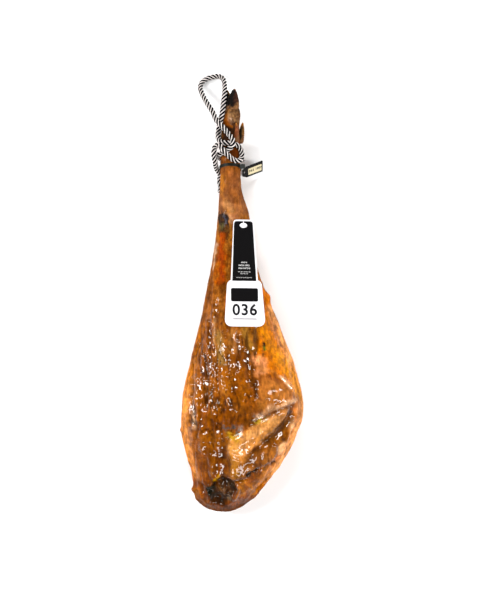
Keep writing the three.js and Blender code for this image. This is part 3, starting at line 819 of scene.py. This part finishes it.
class HAM_OT_leg(bpy.types.Operator):
    """Models the leg's skin, fat and meat with their relief and their colours"""
    bl_idname = "cured_ham.leg"
    bl_label = "Leg"

    def execute(self, context):
        settings = context.scene.ham_leg
        base = self.grid(settings)
        rings, count = base.shape[:2]
        around = np.roll(base, -1, axis=1) - np.roll(base, 1, axis=1)
        lengthwise = np.gradient(base, axis=0)
        normal = np.cross(lengthwise, around)
        normal /= np.linalg.norm(normal, axis=-1)[..., None] + 1e-9
        up = smooth(normal[..., 2], -0.1, 0.5)
        height, crease_shade = self.relief(base, up, settings.relief)
        skin = base + normal * height[..., None]
        card = self.card_height(skin)
        skin[..., 2] = np.minimum(skin[..., 2], card)
        skin[..., 2] = np.where(base[..., 2] <= 0, 0, np.maximum(skin[..., 2], 0))
        tips = (leg_point(np.array(float(HIP_END)), 0.0), leg_point(np.array(float(FOOT_END)), 0.0))
        points = np.vstack([skin.reshape(-1, 3), *[tip[None] for tip in tips]])
        last = rings * count
        faces = skin_faces(rings, count).tolist()
        faces += end_fan(0, count, last, True).tolist()
        faces += end_fan(last - count, count, last + 1, False).tolist()
        mesh = mesh_of("ham_leg", points, faces)
        tint, oil = self.colours(base, normal, height, crease_shade)
        self.store(mesh, "tint", "FLOAT_COLOR", "color", np.dstack([tint, np.ones((rings, count, 1))]), 4)
        self.store(mesh, "oil", "FLOAT", "value", oil[..., None], 1)
        leg = add_object("ham_leg", mesh, [cured_leg_material()], slot="cured_leg")
        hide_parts("ham")
        return {"FINISHED"}

    @staticmethod
    def grid(settings):
        """The bare leg as rings of points, closer together on its upper side."""
        caps = np.sin(np.linspace(0.06, 1, 16) * math.pi / 2)
        start, end = HIP_END + HIP_CAP, FOOT_END - FOOT_CAP
        body = np.linspace(start, end, round((end - start) * MM / settings.spacing))
        toes = end + FOOT_CAP * np.sin(np.linspace(0, 0.94, 9)[1:] * math.pi / 2)
        ring_y = np.concatenate([HIP_END + HIP_CAP * (1 - caps[::-1]), body[1:], toes])
        share = np.arange(settings.columns) / settings.columns
        angle = np.where(share < 0.66, share / 0.66 * math.pi * 1.16 - 0.08 * math.pi,
                         1.08 * math.pi + (share - 0.66) / 0.34 * math.pi * 0.84)
        return leg_point(ring_y[:, None], angle[None, :])

    @staticmethod
    def relief(base, up, strength):
        """How far each point stands off the bare leg, and how deep in a crease it lies, which sets the
        painted shade there.
        """
        plan = base[..., :2]
        warp = np.stack([rough(base, 16, 11, 2), rough(base, 16, 21, 2)], axis=-1)
        drawn = plan + 2.4 * warp
        height = 0.9 * rough(base, 38, 31, 3) + 0.35 * rough(base, 9, 41, 2)
        # wrinkles that run down the meat, with sharp creases between round ridges
        sway = 7 * rough(base, (30, 60, 60), 51, 2)
        flow = np.stack([plan[..., 0] + sway, plan[..., 1], base[..., 2]], axis=-1)
        crease = np.abs(rough(flow, (11, 74, 400), 61, 3))
        fine = np.abs(rough(flow, (5, 30, 200), 71, 2))
        pits = np.minimum(rough(base, 8, 81, 3), 0.2)
        zone = inside(drawn, WRINKLED, 30) * up
        lower = 0.45 * up * smooth(-plan[..., 1], 250, 300)
        elsewhere = 0.26 * up * smooth(-plan[..., 1], -160, -40)
        share = np.maximum(np.maximum(zone, elsewhere), lower)
        wrinkles = 4.6 * np.minimum(crease, 0.55) + 2.6 * np.minimum(fine, 0.4) + 1.3 * pits - 1.7
        height = height + share * wrinkles
        # painted shade: how much each crease is darkened, as shade falls in it
        crease_shade = share * (1 - smooth(crease, 0.02, 0.2)) * 0.9
        for kind, line, width, rise in RELIEF:
            mask = inside(drawn, line, width) if kind == "area" else near_line(drawn, line, width)
            height = height + rise * mask * up
            # the grooves drawn as lines get painted shade too, more in deeper ones
            if rise < 0 and kind == "line":
                crease_shade = np.maximum(crease_shade, mask * up * min(-rise / 6, 0.8))
        # a wrinkle that closes on itself like an eye
        eye = np.hypot((drawn[..., 0] + 54) / 7, (drawn[..., 1] + 195) / 19)
        height = height + up * (3.4 * np.exp(-((eye - 1) / 0.3)**2) - 3.0 * np.exp(-(eye / 0.6)**2))
        # small lumps on the outline, where flaps of skin end
        for spot, width, rise in OUTLINE_LUMPS:
            near = np.exp(-((plan - spot)**2).sum(axis=-1) / width**2)
            height = height + rise * near * (1 - smooth(np.abs(base[..., 2] - 50), 30, 60))
        # the ankle is smooth where the cord and the band go round it
        ankle = smooth(plan[..., 1], 180, 215) * (1 - smooth(plan[..., 1], 385, 396))
        ankle = ankle * (1 - smooth(plan[..., 0], -32, -25) * smooth(plan[..., 1], 340, 348))
        height = height * (1 - ankle) + np.clip(height * 0.4, -0.9, 0.15) * ankle
        return height * strength, np.clip(crease_shade, 0, 1)

    @staticmethod
    def card_height(skin):
        """The highest that the skin may reach under the card tag."""
        face = card_matrix()
        low, high = (Vector(corner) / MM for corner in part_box("card_tag"))
        out, spot = face.col[2].xyz, face.translation / MM
        plane = out.dot(spot) - CARD_THICK - CARD_CLEARANCE
        under = (plane - skin[..., 0] * out.x - skin[..., 1] * out.y) / out.z
        covered = ((skin[..., 0] > low.x - 2) & (skin[..., 0] < high.x + 2)
                   & (skin[..., 1] > low.y - 2) & (skin[..., 1] < high.y + 2))
        return np.where(covered, under, np.inf)

    @staticmethod
    def colours(base, normal, height, crease_shade):
        """The colour of each point, with painted shade in its creases and painted highlights, and how oily
        it is.
        """
        warp = np.stack([rough(base, 18, 111, 3), rough(base, 18, 121, 3)], axis=-1)
        drawn = base[..., :2] + 4.5 * warp
        stations, tones = zip(*BASE_COLOURS)
        tones = np.array([linear(tone) for tone in tones])
        where = base[..., 1] + 26 * warp[..., 0]
        colour = np.stack([np.interp(where, stations, tones[:, i]) for i in range(3)], axis=-1)
        colour = blotches(colour, base, 0.5, 0.65, 131)
        edge = 1.4 + 0.6 * rough(base, 6, 151, 2)
        speckle = smooth(rough(base, 4.5, 141, 3), -0.25, 0.25)
        for kind, line, width, tone, strength in PAINT:
            mask = inside(drawn, line, width) if kind == "area" else near_line(drawn, line, width)
            if kind == "spots":
                mask = mask * speckle
            mask = np.clip(mask * edge, 0, 1) * smooth(normal[..., 2], -0.5, 0.0)
            colour = paint(colour, strength * mask, tone)
        colour = blotches(colour, base, 0.1, 0.45, 191)
        # painted shade: the creases are darkened where shade falls in them
        colour = paint(colour, 0.85 * crease_shade, "#260F03")
        # painted highlight: the raised parts of the relief are lightened, away from the creases
        colour = paint(colour, 0.3 * smooth(height, 1.5, 5) * (1 - crease_shade), "#D98E48")
        under = 1 - smooth(normal[..., 2], -0.6, -0.1)
        rind = np.broadcast_to(linear(RIND_COLOUR), colour.shape)
        rind = paint(rind, 0.7 * smooth(rough(base, 30, 161, 3), -0.1, 0.8), "#7C4316")
        colour = colour + under[..., None] * (rind - colour)
        oily = (0.1 + 0.9 * smooth(-base[..., 1], -20, 60)) * smooth(normal[..., 2], 0.4, 0.85)
        oily = oily * (1 - 0.5 * smooth(rough(base, 30, 171, 2), 0.1, 0.8))
        dry = np.maximum(0.5 * inside(drawn, KNUCKLE, 8), 0.6 * inside(drawn, SOCKET, 8))
        dry = np.maximum(dry, 0.8 * near_line(drawn, OLIVE, 11))
        dry = np.maximum(dry, 0.35 * inside(drawn, PLATEAU, 8))
        oily = oily * (1 - dry)
        oily = np.maximum(oily, 0.3 * smooth(-normal[..., 2], 0.1, 0.5))
        return np.clip(colour, 0, 1), np.clip(oily, 0, 1)

    @staticmethod
    def store(mesh, name, kind, field, values, width):
        """Stores one value or colour for each point of the mesh."""
        rows = values.reshape(-1, width)
        rows = np.vstack([rows, rows[:1], rows[-1:]]).astype(np.float32)
        layer = mesh.attributes.new(name, kind, "POINT")
        layer.data.foreach_set(field, rows.ravel())


# ------------------------------------------------------------------ claws
# Name, base point, tip x, length, half width and half thickness in mm, colour, outer side's
# colour and its strength, and the share of the length where amber starts.
CLAWS = (
    ("claw_near", (-19, 379, 49), -15.5, 47.5, 12.5, 9.5, "#0E0806", "#45261A", 0.95, 0.93),
    ("claw_far", (-25, 379, 32), -30.5, 47.5, 10.5, 9, "#120C09", "#6E4A18", 0.9, 0.9),
    ("dewclaw_near", (-11, 318, 56.5), -12, 40, 5.5, 6, "#7E4426", "#8C5032", 0.6, 0.7),
    ("dewclaw_far", (-3, 316, 43), 1, 43, 6.5, 6, "#221A0E", "#7E5428", 1.0, 0.72),
)
# A claw's shape: share of its length, and its width there as a share of the widest.
CLAW_PROFILE = (
    (0, 0.5), (0.03, 0.75), (0.12, 0.93), (0.25, 1), (0.5, 0.9), (0.76, 0.62), (0.94, 0.3), (1, 0.05),
)


class HAM_OT_claws(bpy.types.Operator):
    """Models the four horn claws of the trotter"""
    bl_idname = "cured_ham.claws"
    bl_label = "Claws"

    def execute(self, context):
        horn = horn_material()
        for seed, (name, foot, tip_x, length, width, thick, *colours) in enumerate(CLAWS):
            horn_colour, outer_colour, outer_share, tip_start = colours
            rings, count = 40, 36
            share = np.linspace(0.01, 0.995, rings)[:, None]
            angle = 2 * math.pi * np.arange(count)[None, :] / count
            girth = np.interp(share, *zip(*CLAW_PROFILE))
            # each ring of growth stands a little proud of the next
            girth = girth * (1 + 0.03 * np.sin(share * length * 1.6) * (1 - share))
            x = girth * width * np.cos(angle)
            z = girth * thick * np.sign(np.sin(angle)) * np.abs(np.sin(angle))**0.9
            lean = (tip_x - foot[0]) * share
            y = np.broadcast_to(foot[1] + share * length, x.shape)
            points = np.stack([foot[0] + x + lean, y, foot[2] + z], axis=-1)
            points[..., 0] += 0.5 * rough(points, 9, 200 + seed, 2)
            points[..., 2] += 0.5 * rough(points, 9, 210 + seed, 2)
            ends = [foot, (tip_x, foot[1] + length, foot[2])]
            flat = np.vstack([points.reshape(-1, 3), ends])
            faces = skin_faces(rings, count)[:, ::-1].tolist()
            faces += end_fan(0, count, rings * count, False).tolist()
            faces += end_fan((rings - 1) * count, count, rings * count + 1, True).tolist()
            mesh = mesh_of(name, flat, faces)
            # horn between skin at the heel and amber at the worn tip, browner on the outer side
            drift = 0.14 * rough(points, 6, 220 + seed, 3)
            outer = smooth(np.cos(angle) + 2 * drift, -0.1, 0.8)
            tint = np.tile(linear(horn_colour), (rings, count, 1))
            tint = paint(tint, outer * outer_share, outer_colour)
            tint = paint(tint, 1 - smooth(share + drift - 0.22 * outer, 0.1, 0.24), "#7A5232")
            tint = paint(tint, 0.9 * smooth(share + drift, tip_start, 1.05), "#A8661E")
            rows = np.concatenate([tint.reshape(-1, 3), tint[0, :1], tint[-1, :1]])
            rows = np.hstack([rows, np.ones((len(rows), 1))]).astype(np.float32)
            mesh.attributes.new("tint", "FLOAT_COLOR", "POINT").data.foreach_set("color", rows.ravel())
            add_object(name, mesh, [horn], slot="cured_leg")
        return {"FINISHED"}


# ------------------------------------------------------------------ band and seal
SEAL_ACROSS, SEAL_UP = (34, 14, -14), (0, 20, 20)


class HAM_OT_seal(bpy.types.Operator):
    """Finishes the plastic band, its lock and the numbered seal"""
    bl_idname = "cured_ham.seal"
    bl_label = "Band and seal"

    def execute(self, context):
        settings = context.scene.ham_tags
        nylon = plastic_material("Moulded green-black nylon", "#0C100A", 0.42, 1.2)
        black = plastic_material("Moulded black polypropylene", "#040405", 0.36, 0.9)
        paper = card_material("Cream label paper", "#D9CCA6", 0.55)
        for name, finish in (("ankle_band", nylon), ("band_lock", nylon), ("seal_plate", black),
                             ("seal_label", paper)):
            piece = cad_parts[name]
            piece.data.materials.clear()
            piece.data.materials.append(finish)
        x, y = (sum(corner[axis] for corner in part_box("seal_label")) / 2 / MM for axis in (0, 1))
        face = on_face("seal_label", SEAL_ACROSS, SEAL_UP, (x, y))
        add_text("seal_number", settings.seal_number, 5.5, (1.5, 0.5), settings.ink,
                 face, card_material("Black label print", "#1D1A18", 0.5), "seal_paper", 0.035)
        return {"FINISHED"}


# ------------------------------------------------------------------ card tag
CARD_HOLE = (2.8, 150.4)
CARD_THICK = 1.2
CARD_CLEARANCE = 0.6             # the skin stays this far under the card
CARD_TILT = (-10.8, 8.0, 0.9)    # turns about x, y and z in degrees, z first


def card_matrix():
    """The matrix of the card's upper face, with its origin at the hole."""
    turned = Euler([math.radians(angle) for angle in CARD_TILT], "ZYX").to_matrix()
    return on_face("card_tag", turned.col[0], turned.col[1], CARD_HOLE)


def flat_piece(name, outlines, thick, matrix, material, slot):
    """A thin flat piece from plan outlines in mm. An outline inside another is a hole."""
    curve = bpy.data.curves.new(name, "CURVE")
    curve.dimensions = "2D"
    curve.fill_mode = "BOTH"
    curve.extrude = thick / 2
    for outline in outlines:
        spline = curve.splines.new("POLY")
        spline.points.add(len(outline) - 1)
        for point, (x, y) in zip(spline.points, outline):
            point.co = (x * MM, y * MM, 0, 1)
        spline.use_cyclic_u = True
    return flat_mesh(name, curve, matrix, material, slot)


def flat_mesh(name, curve, matrix, material, slot):
    """The mesh of a flat curve or text, as a piece in its place."""
    maker = bpy.data.objects.new(name + "_curve", curve)
    bpy.context.scene.collection.objects.link(maker)
    bpy.context.view_layer.update()
    mesh = bpy.data.meshes.new_from_object(maker.evaluated_get(bpy.context.evaluated_depsgraph_get()))
    bpy.data.objects.remove(maker)
    mesh.materials.clear()
    return add_object(name, mesh, [material], slot=slot, matrix=matrix)


def add_text(name, words, size, middle, thick, matrix, material, slot, bold=0.016):
    """Plain digits, size mm high, centred at middle on a flat face."""
    text = bpy.data.curves.new(name, "FONT")
    text.body = words
    text.size = size * MM * 1.4
    text.align_x, text.align_y = "CENTER", "CENTER"
    text.extrude = thick / 2
    text.offset = size * bold * MM
    text.space_character = 1.1
    shift = Matrix.Translation((middle[0] * MM, middle[1] * MM, thick / 2))
    return flat_mesh(name, text, matrix @ shift, material, slot)


def rounded(corners, radius, steps=8):
    """An outline with its corners rounded to a radius."""
    found = []
    corners = [Vector(corner) for corner in corners]
    for i, corner in enumerate(corners):
        back = (corners[i - 1] - corner).normalized()
        ahead = (corners[(i + 1) % len(corners)] - corner).normalized()
        start, end = corner + back * radius, corner + ahead * radius
        for step in range(steps + 1):
            t = step / steps
            found.append(tuple(start * (1 - t)**2 + corner * 2 * t * (1 - t) + end * t**2))
    return found


# Rows of plain numbers on the black panel: words, height of the digits and place, in mm.
CARD_ROWS = (
    ("036218", 2.6, -75.4), ("04736 5092", 3.0, -81.4), ("1836 047218", 3.0, -87.2),
    ("0362 1804 7365 0921 836", 1.5, -94.4), ("0473 6509 2183", 1.5, -98.2),
    ("036 218 047 365 092 183 604 72", 1.5, -106),
)


class HAM_OT_card(bpy.types.Operator):
    """Finishes the card tag and lays its plain generic print on it"""
    bl_idname = "cured_ham.card"
    bl_label = "Card tag"

    def execute(self, context):
        settings = context.scene.ham_tags
        ink = settings.ink
        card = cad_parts["card_tag"]
        card.data.materials.clear()
        card.data.materials.append(card_material("White coated card", "#DAD8DA", 0.4))
        face = card_matrix()
        lifted = face @ Matrix.Translation((0, 0, ink / 2))
        twice = face @ Matrix.Translation((0, 0, ink * 1.6))
        black = card_material("Black print on coated card", "#0C0B0C", 0.36)
        grey = card_material("Dark grey print", "#17171A", 0.42)
        white = card_material("White reversed print", "#D6D4D3", 0.42)
        paper = card_material("White inner leaf", "#E6E4E2", 0.6)

        hole = [(7.6 * math.cos(t), 5.1 * math.sin(t)) for t in np.linspace(0, 2 * math.pi, 40)[:-1]]
        top = rounded(((-18.6, 8.6), (18.6, 8.6), (21, -60), (-21, -60)), 6)
        panel = [point for point in top if point[1] > -40] + [(24, -112.6), (-24, -112.6)]
        flat_piece("card_panel", [panel, hole], ink, lifted, black, "card")
        # the back leaf shows white through the hole, and a slit runs from the hole to the edge
        back = face @ Matrix.Translation((0, 0, -(CARD_THICK - 0.15) * MM))
        flat_piece("card_back_leaf", [[(x * 1.02, y * 1.02) for x, y in hole]], ink, back, paper, "card")
        slit = [(-0.7, 4.9), (0.7, 4.9), (0.7, 9), (-0.7, 9)]
        flat_piece("card_slit", [slit], ink, twice, paper, "card")
        block = rounded(((-27, -127), (27, -127), (27, -154), (-27, -154)), 4)
        flat_piece("card_block", [block], ink, lifted, black, "card")
        rule = [(-23.5, -188), (23.5, -188), (23.5, -189.5), (-23.5, -189.5)]
        flat_piece("card_rule", [rule], ink, lifted, grey, "card")
        for number, (words, size, height) in enumerate(CARD_ROWS):
            add_text(f"card_line_{number}", words, size, (0, height), ink, twice, white, "card")
        add_text("card_number", settings.card_number, 22, (0, -171.5), ink, face, grey, "card", 0.034)
        return {"FINISHED"}


# ------------------------------------------------------------------ panel and registration
class HAM_PT_panel(bpy.types.Panel):
    """Lists what builds the ham, and its settings"""
    bl_label = "Cured Ham"
    bl_idname = "HAM_PT_panel"
    bl_space_type = "VIEW_3D"
    bl_region_type = "UI"
    bl_category = "Ham"

    def draw(self, context):
        for settings, operator in BUILD:
            box = self.layout.box()
            box.operator(operator)
            if settings:
                group = getattr(context.scene, settings)
                for name in group.__annotations__:
                    box.prop(group, name)


# The order of building, each with its settings on the scene.
BUILD = (
    ("ham_stage", "cured_ham.stage"), ("ham_cord", "cured_ham.cord"), ("ham_leg", "cured_ham.leg"),
    (None, "cured_ham.claws"), ("ham_tags", "cured_ham.seal"), ("ham_tags", "cured_ham.card"),
)
SETTINGS = {
    "ham_stage": StageSettings, "ham_leg": LegSettings, "ham_cord": CordSettings,
    "ham_tags": TagSettings,
}
CLASSES = (
    *SETTINGS.values(), HAM_OT_stage, HAM_OT_cord, HAM_OT_leg, HAM_OT_claws, HAM_OT_seal, HAM_OT_card,
    HAM_PT_panel,
)


def register():
    for made in CLASSES:
        bpy.utils.register_class(made)
    for name, group in SETTINGS.items():
        setattr(bpy.types.Scene, name, bpy.props.PointerProperty(type=group))


def unregister():
    for name in SETTINGS:
        delattr(bpy.types.Scene, name)
    for made in reversed(CLASSES):
        bpy.utils.unregister_class(made)


def main():
    """Builds everything in order."""
    register()
    for _, operator in BUILD:
        category, name = operator.split(".")
        getattr(getattr(bpy.ops, category), name)()


if __name__ == "__main__":
    main()
